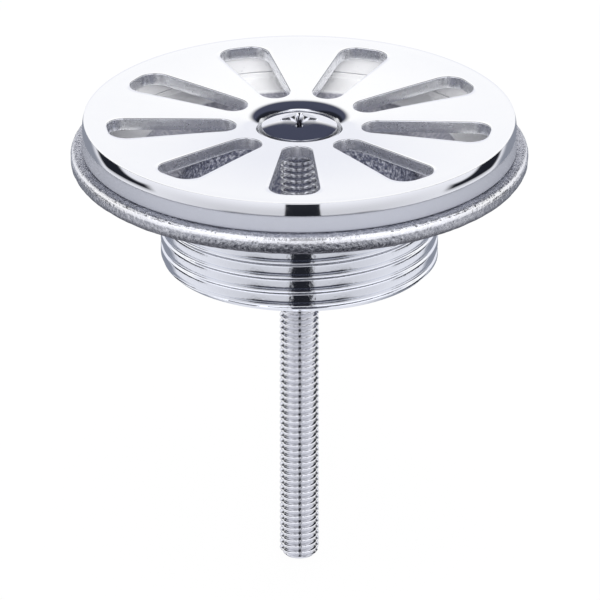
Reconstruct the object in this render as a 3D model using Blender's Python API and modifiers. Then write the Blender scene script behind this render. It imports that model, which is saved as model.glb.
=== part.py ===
"""Free-flow basin waste: a slotted grid drawn down on a cast cup by one long screw.

Metres, +Z up. The origin is on the axis, level with the cup's top face, which is
the face that is pulled up against the underside of a basin. The slot that points
towards -Y is at the front.
"""

import math

import bmesh
import bpy
from mathutils import Matrix

# Fits
GAP = 0.0003
OVERRUN = 0.001
MERGE_DISTANCE = 0.000002

# Centre screw, M6
SCREW_RADIUS = 0.003
SCREW_THREAD_DEPTH = 0.00061
SCREW_PITCH = 0.001
SCREW_REACH = 0.0711
SCREW_TIP_CHAMFER = 0.0008
HEAD_RADIUS = 0.0057
HEAD_SINK = 0.0013
HEAD_RISE = 0.0012
HEAD_LAND = 0.0002
RECESS_SPAN = 0.0064
RECESS_WIDTH = 0.0016
RECESS_FLOOR_SPAN = 0.003
RECESS_FLOOR_WIDTH = 0.0011
RECESS_DEPTH = 0.003

# Grid plate, dimpled round the screw's head
PLATE_THICKNESS = 0.0019
PLATE_EDGE_ROUND = 0.0007
PLATE_EDGE_BREAK = 0.0002
PLATE_DISH_RATE = 0.00046
DIMPLE_CLEARANCE = 0.00055
DIMPLE_ROLL = 0.00145
DIMPLE_LEDGE = 0.0001
HUB_LAND = 0.0002
HUB_WEB = 0.0019
SLOT_COUNT = 9
SLOT_TURN = math.radians(-1.55)
SLOT_OUTER_RADIUS = 0.0291
SLOT_INNER_HALF_WIDTH = 0.00238
SLOT_OUTER_HALF_WIDTH = 0.0038
SLOT_CORNER_RADIUS = 0.0028
PLATE_RIM_WIDTH = 0.0036

# Seal ring
SEAL_THICKNESS = 0.0022
SEAL_PROUD = 0.0001
SEAL_SLOPE = 0.0003
SEAL_WIDTH = 0.003
SEAL_EDGE_ROUND = 0.0003

# Waste cup, G 1 1/4
LIP_PROUD = 0.00165
LIP_TOP_ROUND = 0.0013
LIP_EDGE_LAND = 0.0003
LIP_FOOT_ROUND = 0.0015
SEAL_SEAT_WIDTH = 0.0032
SHELF_DEPTH = 0.0009
SHELF_WIDTH = 0.0052
FUNNEL_DEPTH = 0.0051
THROAT_FLARE = 0.0046
THROAT_HEIGHT = 0.0034
THROAT_STEP = 0.000645
STUB_LENGTH = 0.0182
STUB_CREST_RADIUS = 0.020955
STUB_THREAD_DEPTH = 0.0007
STUB_CREST_LAND = 0.00125
STUB_WALL = 0.002255
STUB_PITCH = 0.002309
STUB_LEAD = 0.0005
STUB_CHAMFER = 0.0008
BRIDGE_WIDTH = 0.0056
BRIDGE_HEIGHT = 0.0055
BRIDGE_INSET = 0.0005
BOSS_WALL = 0.0023
BOSS_STAND = 0.0006

# Radii that follow
SCREW_ROOT_RADIUS = SCREW_RADIUS - SCREW_THREAD_DEPTH
DIMPLE_FOOT_RADIUS = HEAD_RADIUS + DIMPLE_CLEARANCE
DIMPLE_RADIUS = DIMPLE_FOOT_RADIUS + DIMPLE_ROLL
SLOT_INNER_TIP = DIMPLE_RADIUS + HUB_WEB
PLATE_RADIUS = SLOT_OUTER_RADIUS + PLATE_RIM_WIDTH
SEAL_RADIUS = PLATE_RADIUS + SEAL_PROUD
LIP_RADIUS = SEAL_RADIUS + LIP_PROUD
SHELF_OUTER_RADIUS = SEAL_RADIUS - SEAL_SEAT_WIDTH
SHELF_INNER_RADIUS = SHELF_OUTER_RADIUS - SHELF_WIDTH
STUB_ROOT_RADIUS = STUB_CREST_RADIUS - STUB_THREAD_DEPTH
BORE_RADIUS = STUB_ROOT_RADIUS - STUB_WALL
THROAT_FOOT_RADIUS = STUB_CREST_RADIUS + THROAT_STEP
THROAT_OUTER_RADIUS = THROAT_FOOT_RADIUS + THROAT_FLARE
BRIDGE_HOLE_RADIUS = SCREW_RADIUS + GAP
BOSS_RADIUS = BRIDGE_HOLE_RADIUS + BOSS_WALL

# Levels
SEAL_FLOOR = GAP
SEAL_TOP = SEAL_FLOOR + SEAL_THICKNESS
PLATE_TOP = SEAL_TOP + GAP + PLATE_THICKNESS
HEAD_RIM = PLATE_TOP - HEAD_SINK
SCREW_TIP = HEAD_RIM - SCREW_REACH
LIP_THICKNESS = LIP_TOP_ROUND + LIP_EDGE_LAND + LIP_FOOT_ROUND

# Facets
PLATE_SIDES = 72
CUP_SIDES = 72
STUB_SIDES = 48
SEAL_SIDES = 72
HEAD_SIDES = 32
SCREW_SIDES = 14
HOLE_SIDES = 24
ROUND_STEPS = 4
DISH_STEPS = 6

PARTS_NAME = "free_flow_basin_waste"
CUTTERS_NAME = "cutters"


def clear_scene():
    """Remove what the open file holds."""
    for item in list(bpy.data.objects):
        bpy.data.objects.remove(item, do_unlink=True)
    for group in list(bpy.data.collections):
        bpy.data.collections.remove(group)


def make_collection(name):
    group = bpy.data.collections.new(name)
    bpy.context.scene.collection.children.link(group)
    return group


def make_material(name, color, roughness, metallic):
    material = bpy.data.materials.new(name)
    material.use_nodes = True
    shader = material.node_tree.nodes["Principled BSDF"]
    shader.inputs["Base Color"].default_value = (*color, 1.0)
    shader.inputs["Roughness"].default_value = roughness
    shader.inputs["Metallic"].default_value = metallic
    return material


def link_part(item, material):
    """Put a finished piece in the parts' collection, in its own material."""
    bpy.data.collections[PARTS_NAME].objects.link(item)
    item.data.materials.append(material)
    return item


def link_cutter(item):
    """Put a cutter or a guide where neither the viewport nor a render shows it solid."""
    bpy.data.collections[CUTTERS_NAME].objects.link(item)
    item.hide_render = True
    item.display_type = "WIRE"
    return item


def shade_round(item):
    """Keep wide faces flat and round ones smooth; a turned profile is smooth already."""
    normals = item.modifiers.new("normals", "WEIGHTED_NORMAL")
    normals.keep_sharp = True


def evaluated_mesh(item):
    """The mesh of an object as its modifiers leave it."""
    bpy.context.view_layer.update()
    graph = bpy.context.evaluated_depsgraph_get()
    return bpy.data.meshes.new_from_object(item.evaluated_get(graph))


def arc(center, radius, start, end, steps):
    """Points along an arc in the (radius, height) plane, angles in degrees from +radius."""
    points = []
    for step in range(steps + 1):
        angle = math.radians(start + (end - start) * step / steps)
        points.append((center[0] + radius * math.cos(angle), center[1] + radius * math.sin(angle)))
    return points


def turned(name, profile, sides, closed):
    """Turn a profile of (radius, height) points about Z; it runs down its outer side.

    A closed profile makes a ring, and an open one starts and ends on the axis.
    """
    mesh = bpy.data.meshes.new(name)
    verts = [(radius, 0.0, height) for radius, height in profile]
    edges = [(index, index + 1) for index in range(len(verts) - 1)]
    if closed:
        edges.append((len(verts) - 1, 0))
    mesh.from_pydata(verts, edges, [])
    item = bpy.data.objects.new(name, mesh)
    screw = item.modifiers.new("turn", "SCREW")
    screw.axis = "Z"
    screw.angle = math.tau
    screw.steps = sides
    screw.render_steps = sides
    screw.use_merge_vertices = True
    screw.merge_threshold = MERGE_DISTANCE
    screw.use_smooth_shade = True
    return item


def boolean(item, tool, operation):
    modifier = item.modifiers.new(tool.name, "BOOLEAN")
    modifier.operation = operation
    modifier.object = tool
    modifier.solver = "EXACT"


def cylinder(name, radius, floor, top, sides):
    """An upright cylinder between two heights."""
    mesh = bpy.data.meshes.new(name)
    bm = bmesh.new()
    place = Matrix.Translation((0.0, 0.0, (floor + top) / 2))
    bmesh.ops.create_cone(
        bm, cap_ends=True, segments=sides, radius1=radius, radius2=radius, depth=top - floor, matrix=place
    )
    bm.to_mesh(mesh)
    bm.free()
    return bpy.data.objects.new(name, mesh)


def box(name, length, width, floor, top):
    """A box centred on the axis, between two heights."""
    mesh = bpy.data.meshes.new(name)
    bm = bmesh.new()
    size = Matrix.Diagonal((length, width, top - floor, 1.0))
    place = Matrix.Translation((0.0, 0.0, (floor + top) / 2))
    bmesh.ops.create_cube(bm, size=1.0, matrix=place @ size)
    bm.to_mesh(mesh)
    bm.free()
    return bpy.data.objects.new(name, mesh)


def threaded_rod(name, root, crest, land, pitch, floor, top, sides):
    """A right-hand screw thread on a solid rod, with a helical step at each end.

    One pitch of the flanks climbs a pitch with each turn. The crest is as wide as
    its land, or sharp where the land is zero. The turns meet at their roots, and
    each end closes as a fan from a point on the axis.
    """
    turns = math.ceil((top - floor) / pitch) + 1
    start = floor - pitch
    guide_mesh = bpy.data.meshes.new(name + "_flanks")
    crest_edges = sorted({(pitch + land) / 2, (pitch - land) / 2}, reverse=True)
    flanks = [(root, 0.0, start + pitch)]
    flanks += [(crest, 0.0, start + edge) for edge in crest_edges]
    flanks.append((root, 0.0, start))
    guide_mesh.from_pydata(flanks, [(index, index + 1) for index in range(len(flanks) - 1)], [])
    guide = bpy.data.objects.new(name + "_flanks", guide_mesh)
    screw = guide.modifiers.new("climb", "SCREW")
    screw.axis = "Z"
    screw.angle = math.tau * turns
    screw.screw_offset = pitch * turns
    screw.steps = sides * turns
    screw.render_steps = sides * turns
    screw.use_smooth_shade = True
    link_cutter(guide)
    mesh = evaluated_mesh(guide)
    bpy.data.objects.remove(guide, do_unlink=True)
    bm = bmesh.new()
    bm.from_mesh(mesh)
    bmesh.ops.remove_doubles(bm, verts=bm.verts, dist=MERGE_DISTANCE)
    middle = start + pitch * turns / 2
    rims = [edge for edge in bm.edges if edge.is_boundary]
    for low in (True, False):
        rim = [edge for edge in rims if (edge.verts[0].co.z < middle) == low]
        height = sum(edge.verts[0].co.z for edge in rim) / len(rim)
        tip = bm.verts.new((0.0, 0.0, height))
        for edge in rim:
            bm.faces.new((edge.verts[0], edge.verts[1], tip))
    bmesh.ops.recalc_face_normals(bm, faces=bm.faces)
    bm.to_mesh(mesh)
    bm.free()
    return bpy.data.objects.new(name, mesh)


def plate_height(radius):
    """Height of the grid's top, which sinks towards the centre as a logarithm."""
    return PLATE_TOP + PLATE_DISH_RATE * math.log(radius / PLATE_RADIUS)


def cone_height(radius):
    """Height of the screw head's cone at a radius; its sides lie at 45 degrees."""
    return HEAD_RIM - HEAD_LAND + radius - HEAD_RADIUS


def plate_profile():
    """Section of the grid: rolled edge, dished top, dimple, countersink and underside."""
    side_gap = GAP * math.sqrt(2)
    hole = SCREW_RADIUS + side_gap
    ledge_radius = DIMPLE_FOOT_RADIUS - DIMPLE_LEDGE
    ledge = cone_height(ledge_radius - side_gap)
    throat = cone_height(hole - side_gap)
    hub_floor = throat - HUB_LAND
    hub_radius = hole + PLATE_THICKNESS
    points = [(hole, hub_floor), (hole, throat), (ledge_radius, ledge)]
    foot = (DIMPLE_FOOT_RADIUS, ledge + DIMPLE_LEDGE)
    brow = (DIMPLE_RADIUS, plate_height(DIMPLE_RADIUS))
    for step in range(ROUND_STEPS + 1):
        angle = math.pi / 2 * step / ROUND_STEPS
        across = foot[0] + (brow[0] - foot[0]) * (1 - math.cos(angle))
        rise = foot[1] + (brow[1] - foot[1]) * math.sin(angle)
        points.append((across, rise))
    dish_end = PLATE_RADIUS - PLATE_EDGE_ROUND
    for step in range(1, DISH_STEPS):
        radius = DIMPLE_RADIUS * (dish_end / DIMPLE_RADIUS) ** (step / DISH_STEPS)
        points.append((radius, plate_height(radius)))
    shoulder = (dish_end, plate_height(dish_end) - PLATE_EDGE_ROUND)
    points += arc(shoulder, PLATE_EDGE_ROUND, 90, 0, ROUND_STEPS)
    floor = PLATE_TOP - PLATE_THICKNESS
    points.append((PLATE_RADIUS, floor + PLATE_EDGE_BREAK))
    points.append((PLATE_RADIUS - PLATE_EDGE_BREAK, floor))
    for step in range(1, DISH_STEPS, 2):
        radius = dish_end * (DIMPLE_RADIUS / dish_end) ** (step / DISH_STEPS)
        points.append((radius, plate_height(radius) - PLATE_THICKNESS))
    hub_top = plate_height(DIMPLE_RADIUS) - PLATE_THICKNESS
    points.append((hub_radius + hub_top - hub_floor, hub_top))
    points.append((hub_radius, hub_floor))
    return points


def slot_outline():
    """Outline of one slot along +X: a round inner end, and an outer end about the axis."""
    tip_center = SLOT_INNER_TIP + SLOT_INNER_HALF_WIDTH
    corner_reach = SLOT_OUTER_RADIUS - SLOT_CORNER_RADIUS
    corner_side = SLOT_OUTER_HALF_WIDTH - SLOT_CORNER_RADIUS
    corner_center = math.sqrt(corner_reach**2 - corner_side**2)
    run = corner_center - tip_center
    lean = math.degrees(math.asin((SLOT_OUTER_HALF_WIDTH - SLOT_INNER_HALF_WIDTH) / run))
    aim = math.degrees(math.asin(corner_side / corner_reach))
    steps = 2 * ROUND_STEPS
    outer = arc((0.0, 0.0), SLOT_OUTER_RADIUS, -aim, aim, ROUND_STEPS)
    upper = arc((corner_center, corner_side), SLOT_CORNER_RADIUS, aim, 90 + lean, ROUND_STEPS)
    inner = arc((tip_center, 0.0), SLOT_INNER_HALF_WIDTH, 90 + lean, 270 - lean, steps)
    lower = arc((corner_center, -corner_side), SLOT_CORNER_RADIUS, 270 - lean, 360 - aim, ROUND_STEPS)
    return outer[:-1] + upper + inner + lower[:-1]


def slot_cutter(name, direction):
    """One slot's cutter, standing upright through the plate."""
    curve = bpy.data.curves.new(name + "_outline", "CURVE")
    curve.dimensions = "2D"
    curve.fill_mode = "BOTH"
    curve.extrude = 2 * PLATE_THICKNESS
    points = slot_outline()
    spline = curve.splines.new("POLY")
    spline.points.add(len(points) - 1)
    spline.use_cyclic_u = True
    for point, (across, along) in zip(spline.points, points):
        point.co = (across, along, 0.0, 1.0)
    guide = bpy.data.objects.new(name + "_outline", curve)
    link_cutter(guide)
    mesh = evaluated_mesh(guide)
    bpy.data.objects.remove(guide, do_unlink=True)
    bm = bmesh.new()
    bm.from_mesh(mesh)
    bmesh.ops.remove_doubles(bm, verts=bm.verts, dist=MERGE_DISTANCE)
    bmesh.ops.recalc_face_normals(bm, faces=bm.faces)
    place = Matrix.Translation((0.0, 0.0, PLATE_TOP - PLATE_THICKNESS / 2))
    bm.transform(place @ Matrix.Rotation(direction, 4, "Z"))
    bm.to_mesh(mesh)
    bm.free()
    return link_cutter(bpy.data.objects.new(name, mesh))


def make_grid_plate(material):
    """The slotted grid, with a dimple and countersink for the screw."""
    plate = link_part(turned("grid_plate", plate_profile(), PLATE_SIDES, True), material)
    front = -math.pi / 2
    for index in range(SLOT_COUNT):
        direction = front + SLOT_TURN - math.tau * index / SLOT_COUNT
        boolean(plate, slot_cutter("slot_cutter_%d" % (index + 1), direction), "DIFFERENCE")
    shade_round(plate)
    return plate


def recess_arm(name, turn):
    """One tapered arm of the screw's cross recess, as a cutter."""
    mesh = bpy.data.meshes.new(name)
    bm = bmesh.new()
    bmesh.ops.create_cube(bm, size=1.0)
    dome_top = HEAD_RIM + HEAD_RISE
    height = RECESS_DEPTH + OVERRUN
    for vert in bm.verts:
        is_top = vert.co.z > 0
        length = RECESS_SPAN if is_top else RECESS_FLOOR_SPAN
        width = RECESS_WIDTH if is_top else RECESS_FLOOR_WIDTH
        vert.co.x = math.copysign(length / 2, vert.co.x)
        vert.co.y = math.copysign(width / 2, vert.co.y)
        vert.co.z = dome_top - RECESS_DEPTH + (height if is_top else 0.0)
    bm.transform(Matrix.Rotation(turn, 4, "Z"))
    bm.to_mesh(mesh)
    bm.free()
    return link_cutter(bpy.data.objects.new(name, mesh))


def make_centre_screw(material):
    """Raised countersunk head with a cross recess, on a fully threaded shank."""
    dome_radius = (HEAD_RADIUS**2 + HEAD_RISE**2) / (2 * HEAD_RISE)
    dome_angle = math.degrees(math.asin(HEAD_RADIUS / dome_radius))
    dome_center = (0.0, HEAD_RIM + HEAD_RISE - dome_radius)
    spigot = SCREW_ROOT_RADIUS - SCREW_PITCH / 4
    profile = [(0.0, HEAD_RIM + HEAD_RISE)]
    profile += arc(dome_center, dome_radius, 90, 90 - dome_angle, ROUND_STEPS)[1:]
    profile.append((HEAD_RADIUS, HEAD_RIM - HEAD_LAND))
    profile.append((SCREW_ROOT_RADIUS, cone_height(SCREW_ROOT_RADIUS)))
    profile.append((spigot, cone_height(SCREW_ROOT_RADIUS) - SCREW_PITCH))
    profile.append((0.0, cone_height(SCREW_ROOT_RADIUS) - SCREW_PITCH))
    screw = link_part(turned("centre_screw", profile, HEAD_SIDES, False), material)
    shank_top = cone_height(SCREW_RADIUS + SCREW_PITCH / 2)
    thread = threaded_rod(
        "screw_thread",
        SCREW_ROOT_RADIUS,
        SCREW_RADIUS,
        0.0,
        SCREW_PITCH,
        SCREW_TIP,
        shank_top,
        SCREW_SIDES,
    )
    link_cutter(thread)
    margin = SCREW_RADIUS + SCREW_PITCH
    slope = margin - (SCREW_RADIUS - SCREW_TIP_CHAMFER)
    blank_profile = [
        (0.0, shank_top),
        (margin, shank_top),
        (margin, SCREW_TIP + slope),
        (SCREW_RADIUS - SCREW_TIP_CHAMFER, SCREW_TIP),
        (0.0, SCREW_TIP),
    ]
    blank = link_cutter(turned("screw_blank", blank_profile, HEAD_SIDES, False))
    boolean(thread, blank, "INTERSECT")
    boolean(screw, thread, "UNION")
    for index, name in enumerate(("recess_arm_a", "recess_arm_b")):
        boolean(screw, recess_arm(name, index * math.pi / 2), "DIFFERENCE")
    shade_round(screw)
    return screw


def make_seal_ring(material):
    """Flat seal under the grid's rim, a little wider at its foot."""
    inner = SEAL_RADIUS - SEAL_WIDTH
    top_radius = SEAL_RADIUS - SEAL_SLOPE - SEAL_EDGE_ROUND
    foot_radius = SEAL_RADIUS - SEAL_EDGE_ROUND
    profile = [(inner, SEAL_FLOOR), (inner, SEAL_TOP)]
    profile += arc((top_radius, SEAL_TOP - SEAL_EDGE_ROUND), SEAL_EDGE_ROUND, 90, 0, 2)
    profile += arc((foot_radius, SEAL_FLOOR + SEAL_EDGE_ROUND), SEAL_EDGE_ROUND, 0, -90, 2)
    ring = link_part(turned("seal_ring", profile, SEAL_SIDES, True), material)
    shade_round(ring)
    return ring


def lip_profile():
    """Section of the cup's outside as a solid: lip, underside and throat."""
    profile = [(0.0, 0.0)]
    profile += arc((LIP_RADIUS - LIP_TOP_ROUND, -LIP_TOP_ROUND), LIP_TOP_ROUND, 90, 0, ROUND_STEPS)
    foot_center = (LIP_RADIUS - LIP_FOOT_ROUND, LIP_FOOT_ROUND - LIP_THICKNESS)
    profile += arc(foot_center, LIP_FOOT_ROUND, 0, -90, ROUND_STEPS)
    profile.append((THROAT_OUTER_RADIUS, -LIP_THICKNESS))
    profile.append((THROAT_FOOT_RADIUS, -LIP_THICKNESS - THROAT_HEIGHT))
    profile.append((0.0, -LIP_THICKNESS - THROAT_HEIGHT))
    return profile


def make_bore_cutter():
    """The waterway: the recess under the grid, a funnel and the bore, less the bridge."""
    profile = [
        (0.0, OVERRUN),
        (SHELF_OUTER_RADIUS, OVERRUN),
        (SHELF_OUTER_RADIUS, -SHELF_DEPTH),
        (SHELF_INNER_RADIUS, -SHELF_DEPTH),
        (BORE_RADIUS, -SHELF_DEPTH - FUNNEL_DEPTH),
        (BORE_RADIUS, -STUB_LENGTH - OVERRUN),
        (0.0, -STUB_LENGTH - OVERRUN),
    ]
    cutter = link_cutter(turned("bore_cutter", profile, CUP_SIDES, False))
    bridge_floor = -STUB_LENGTH + BRIDGE_INSET
    bridge_top = bridge_floor + BRIDGE_HEIGHT
    bar_length = 2 * (BORE_RADIUS + OVERRUN)
    bar = link_cutter(box("bridge_bar", bar_length, BRIDGE_WIDTH, bridge_floor, bridge_top))
    boss_top = bridge_top + BOSS_STAND
    boss = link_cutter(cylinder("bridge_boss", BOSS_RADIUS, bridge_floor, boss_top, HOLE_SIDES))
    boolean(bar, boss, "UNION")
    boolean(cutter, bar, "DIFFERENCE")
    return cutter


def make_waste_cup(material):
    """Cast cup: lip, recess, threaded stub, and a bridge with the screw's hole."""
    cup = link_part(turned("waste_cup", lip_profile(), CUP_SIDES, False), material)
    stub_top = -LIP_THICKNESS - THROAT_HEIGHT / 2
    thread = threaded_rod(
        "stub_thread",
        STUB_ROOT_RADIUS,
        STUB_CREST_RADIUS,
        STUB_CREST_LAND,
        STUB_PITCH,
        -STUB_LENGTH - STUB_LEAD,
        stub_top,
        STUB_SIDES,
    )
    link_cutter(thread)
    margin = STUB_CREST_RADIUS + STUB_PITCH
    slope = margin - (STUB_CREST_RADIUS - STUB_CHAMFER)
    blank_profile = [
        (0.0, stub_top),
        (margin, stub_top),
        (margin, slope - STUB_LENGTH),
        (STUB_CREST_RADIUS - STUB_CHAMFER, -STUB_LENGTH),
        (0.0, -STUB_LENGTH),
    ]
    blank = link_cutter(turned("stub_blank", blank_profile, CUP_SIDES, False))
    boolean(thread, blank, "INTERSECT")
    boolean(cup, thread, "UNION")
    boolean(cup, make_bore_cutter(), "DIFFERENCE")
    hole = cylinder("bridge_hole", BRIDGE_HOLE_RADIUS, -STUB_LENGTH - OVERRUN, 0.0, HOLE_SIDES)
    boolean(cup, link_cutter(hole), "DIFFERENCE")
    shade_round(cup)
    return cup


def main():
    clear_scene()
    make_collection(PARTS_NAME)
    make_collection(CUTTERS_NAME)
    make_waste_cup(make_material("cast_chrome", (0.62, 0.63, 0.66), 0.28, 1.0))
    make_seal_ring(make_material("pale_seal", (0.66, 0.68, 0.74), 0.3, 0.0))
    make_grid_plate(make_material("polished_chrome", (0.86, 0.87, 0.9), 0.07, 1.0))
    make_centre_screw(make_material("bright_steel", (0.72, 0.73, 0.76), 0.15, 1.0))


main()
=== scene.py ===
"""Free-flow basin waste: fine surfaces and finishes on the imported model.

Shapes are worked out in millimetres on grids of points and stored in metres, in
the model's own frame: the axis is Z, and the cup's clamp face is at height zero.
"""

import math

import bmesh
import bpy
import numpy as np
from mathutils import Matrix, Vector


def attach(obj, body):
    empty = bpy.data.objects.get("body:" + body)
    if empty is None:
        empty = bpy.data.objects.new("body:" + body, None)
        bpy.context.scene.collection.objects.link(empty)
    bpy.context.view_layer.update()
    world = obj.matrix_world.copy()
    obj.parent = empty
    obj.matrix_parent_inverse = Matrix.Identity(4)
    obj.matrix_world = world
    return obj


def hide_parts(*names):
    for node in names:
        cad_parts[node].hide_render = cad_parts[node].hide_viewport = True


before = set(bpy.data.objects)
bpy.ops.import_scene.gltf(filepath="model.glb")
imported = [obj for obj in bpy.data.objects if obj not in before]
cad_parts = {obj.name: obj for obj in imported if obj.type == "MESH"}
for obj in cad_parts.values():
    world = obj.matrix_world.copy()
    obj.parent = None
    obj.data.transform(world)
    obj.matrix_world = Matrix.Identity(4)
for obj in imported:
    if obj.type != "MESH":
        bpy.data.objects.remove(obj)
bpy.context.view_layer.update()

MM = 0.001
TAU = math.tau
FRONT = -TAU / 4

# Grid plate
PLATE_TOP = 4.7
PLATE_FLOOR = 2.65
PLATE_THICKNESS = 1.9
PLATE_RADIUS = 32.7
PLATE_DISH_RATE = 0.46
PLATE_EDGE_BREAK = 0.04
PLATE_CROWN_RADIUS = 4.9
PLATE_CROWN_FOOT = 3.27
PLATE_CROWN_TURN = math.radians(17)
PLATE_CROWN_POINTS = 7
PLATE_FOOT_ROUND = 0.1
RIM_INNER_RADIUS = 31.0
RIM_UNDER_ROWS = 4
HUB_OUTER_RADIUS = 9.3
DIMPLE_SLOPE = 0.66
DIMPLE_BEND = 2.4
DIMPLE_FOOT_RADIUS = 6.36
DIMPLE_ROWS = 30
HUB_LEDGE = 0.1
HUB_HOLE_RADIUS = 3.42
HUB_HOLE_LAND = 0.2
HUB_FLOOR = 0.3
HUB_RADIUS = 5.32
SLOT_COUNT = 9
SLOT_TURN = math.radians(-1.55)
SLOT_TIP_CENTRE = 11.98
SLOT_OUTER_RADIUS = 29.1
SLOT_INNER_HALF_WIDTH = 2.38
SLOT_OUTER_HALF_WIDTH = 3.8
SLOT_CORNER_RADIUS = 2.8
SLOT_CORNER_SPLIT = 0.55
SLOT_TOP_ROUND = 0.12
SLOT_FOOT_ROUND = 0.16
SLOT_OUTER_RUN = 44
SLOT_SIDE_RUN = 40
SLOT_INNER_RUN = 22
SLOT_TOP_ROWS = 8
SLOT_TOP_CROWDING = 0.8
SLOT_EDGE_ROWS = 6

# Centre screw
SCREW_CREST = 3.0
SCREW_DEPTH = 0.61
SCREW_PITCH = 1.0
SCREW_LAND = 0.125
SCREW_SOFTNESS = 0.1
SCREW_TIP = -67.7
SCREW_TIP_RADIUS = 2.2
SCREW_END_RADIUS = 1.8
SCREW_THREAD_TOP = -0.6
SCREW_NECK_RADIUS = 2.7
SCREW_COLUMNS = 56
SCREW_ROW_SHARES = (0, 0.07, 0.15, 0.25, 0.33, 0.39, 0.44, 0.5, 0.56, 0.61, 0.67, 0.75, 0.85, 0.93)
HEAD_RIM = 3.4
HEAD_RISE = 1.2
HEAD_RADIUS = 5.7
HEAD_LAND = 0.2
HEAD_DOME_ROWS = 26
RECESS_HALF_SPAN = 3.2
RECESS_FLOOR_HALF_SPAN = 1.5
RECESS_DEPTH = 2.7
RECESS_CORE_HALF_WIDTH = 0.17
RECESS_MOUTH_SPREAD = 0.93
RECESS_MOUTH_POWER = 5
RECESS_INNER_FILLET = 1.1
RECESS_TIP_FILLET = 0.35
RECESS_CLEARANCE = 0.3
RECESS_ROWS = 14

# Seal ring
SEAL_INNER_RADIUS = 29.65
SEAL_RADIUS = 32.8
SEAL_TOP_RADIUS = 32.5
SEAL_TOP = 2.57
SEAL_FLOOR = 0.02
SEAL_COLUMNS = 288

# Waste cup
LIP_RADIUS = 34.45
LIP_FLOOR = -3.1
LIP_TOP_ROUND = 1.0
LIP_FOOT_ROUND = 1.5
SHELF = -0.9
SHELF_OUTER_RADIUS = 29.6
SHELF_INNER_RADIUS = 24.4
FUNNEL_FOOT = -6.0
BORE_RADIUS = 18.0
THROAT_OUTER_RADIUS = 26.2
THROAT_FOOT_RADIUS = 21.6
THROAT_FOOT = -6.5
CAST_DEPTH = 0.07
CAST_OUTSIDE = 1.0
CAST_INSIDE = 0.6
CAST_MACHINED = 0.12
CAST_THREAD = 0.05
CUP_COLUMNS = 400
STUB_FOOT = -18.2
STUB_CREST = 20.955
STUB_DEPTH = 0.42
STUB_ROOT = 20.655
STUB_LAND = 1.25
STUB_PITCH = 2.309
STUB_GROOVE = -21.009
STUB_SOFTNESS = 0.06
STUB_CHAMFER = 0.8
STUB_ROW_SHARES = (
    0, 0.05, 0.1, 0.15, 0.19, 0.22, 0.25, 0.35,
    0.5, 0.65, 0.75, 0.78, 0.81, 0.85, 0.9, 0.95,
)
BRIDGE_HALF_WIDTH = 2.8
BRIDGE_FLOOR = -17.7
BRIDGE_TOP = -12.2
BRIDGE_ROUND = 0.8
BRIDGE_BURIED = 0.6
BRIDGE_HOLE_RADIUS = 3.05
BRIDGE_STATIONS = 70
BOSS_RADIUS = 5.6
BOSS_TOP = -11.6
BOSS_FLOOR = -17.65

# Studio, with its lengths in metres and its angle in radians
FLOOR = (SCREW_TIP - 0.3) * MM
FLOOR_REACH = 6.0
TENT_RADIUS = 0.7
TENT_POLE_ANGLE = 0.001
WHITE = (1, 1, 1, 1)
WORLD_LIGHT = 0.8

# Camera: the photograph's width and focal length in pixels, the sensor in
# millimetres, the distance and the aim in metres
PHOTO_WIDTH = 600
FOCAL_LENGTH = 9230
SENSOR_WIDTH = 36.0
CAMERA_PITCH = math.radians(24.0)
CAMERA_DISTANCE = 1.4
CAMERA_AIM = (0.0001, 0.0, -0.0253)


# Sections and grids


def unit(vector):
    """A vector at a length of one."""
    return vector / np.linalg.norm(vector)


def run(start, end, step):
    """Points from a start up to, but not including, an end, at most a step apart."""
    count = max(1, math.ceil(np.linalg.norm(end - start) / step))
    share = np.arange(count)[:, None] / count
    return start + (end - start) * share


def section(corners, step, arc_steps=6):
    """A line through (across, up, fillet) corners.

    Each fillet is an arc that touches both its runs: its centre lies on the
    corner's bisector, at the fillet over the sine of half the corner's angle.
    """
    corners = np.array(corners, float)
    points = []
    last = corners[0, :2]
    for before, corner, after in zip(corners[:-2], corners[1:-1], corners[2:]):
        place, fillet = corner[:2], corner[2]
        if fillet == 0:
            points.append(run(last, place, step))
            last = place
            continue
        back, ahead = unit(before[:2] - place), unit(after[:2] - place)
        half = math.acos(np.clip(back @ ahead, -1, 1)) / 2
        centre = place + unit(back + ahead) * fillet / math.sin(half)
        touch = place + back * fillet / math.tan(half)
        leave = place + ahead * fillet / math.tan(half)
        points.append(run(last, touch, step))
        share = np.arange(arc_steps)[:, None] / arc_steps
        spoke, end = touch - centre, leave - centre
        swing = math.acos(np.clip(unit(spoke) @ unit(end), -1, 1))
        weight = np.sin((1 - share) * swing), np.sin(share * swing)
        points.append(centre + (weight[0] * spoke + weight[1] * end) / math.sin(swing))
        last = leave
    points.append(run(last, corners[-1, :2], step))
    points.append(corners[-1:, :2])
    return np.vstack(points)


def arc(centre, radius, start, end, count):
    """Points along an arc in the plane, from one angle to another in radians."""
    swing = np.linspace(start, end, count)
    across, along = centre[0] + radius * np.cos(swing), centre[1] + radius * np.sin(swing)
    return np.stack([across, along], axis=1)


def even(line, count):
    """A line's points moved so that equal lengths lie between them."""
    steps = np.linalg.norm(np.diff(line, axis=0), axis=1)
    along = np.concatenate([[0], np.cumsum(steps)])
    wanted = np.linspace(0, along[-1], count)
    return np.stack([np.interp(wanted, along, line[:, axis]) for axis in (0, 1)], axis=1)


def angles(columns):
    """Angles of the columns of a grid that goes once round; the last repeats the first."""
    return np.linspace(0, TAU, columns + 1)


def wrapped(radius, height, theta):
    """Points at a radius from the axis, a height and an angle round the axis."""
    across, along = radius * np.cos(theta), radius * np.sin(theta)
    return np.stack(np.broadcast_arrays(across, along, height), axis=2)


def turned(line, columns):
    """A grid of points: each (radius, height) of a line, at each angle round the axis."""
    return wrapped(line[:, :1], line[:, 1:], angles(columns))


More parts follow.
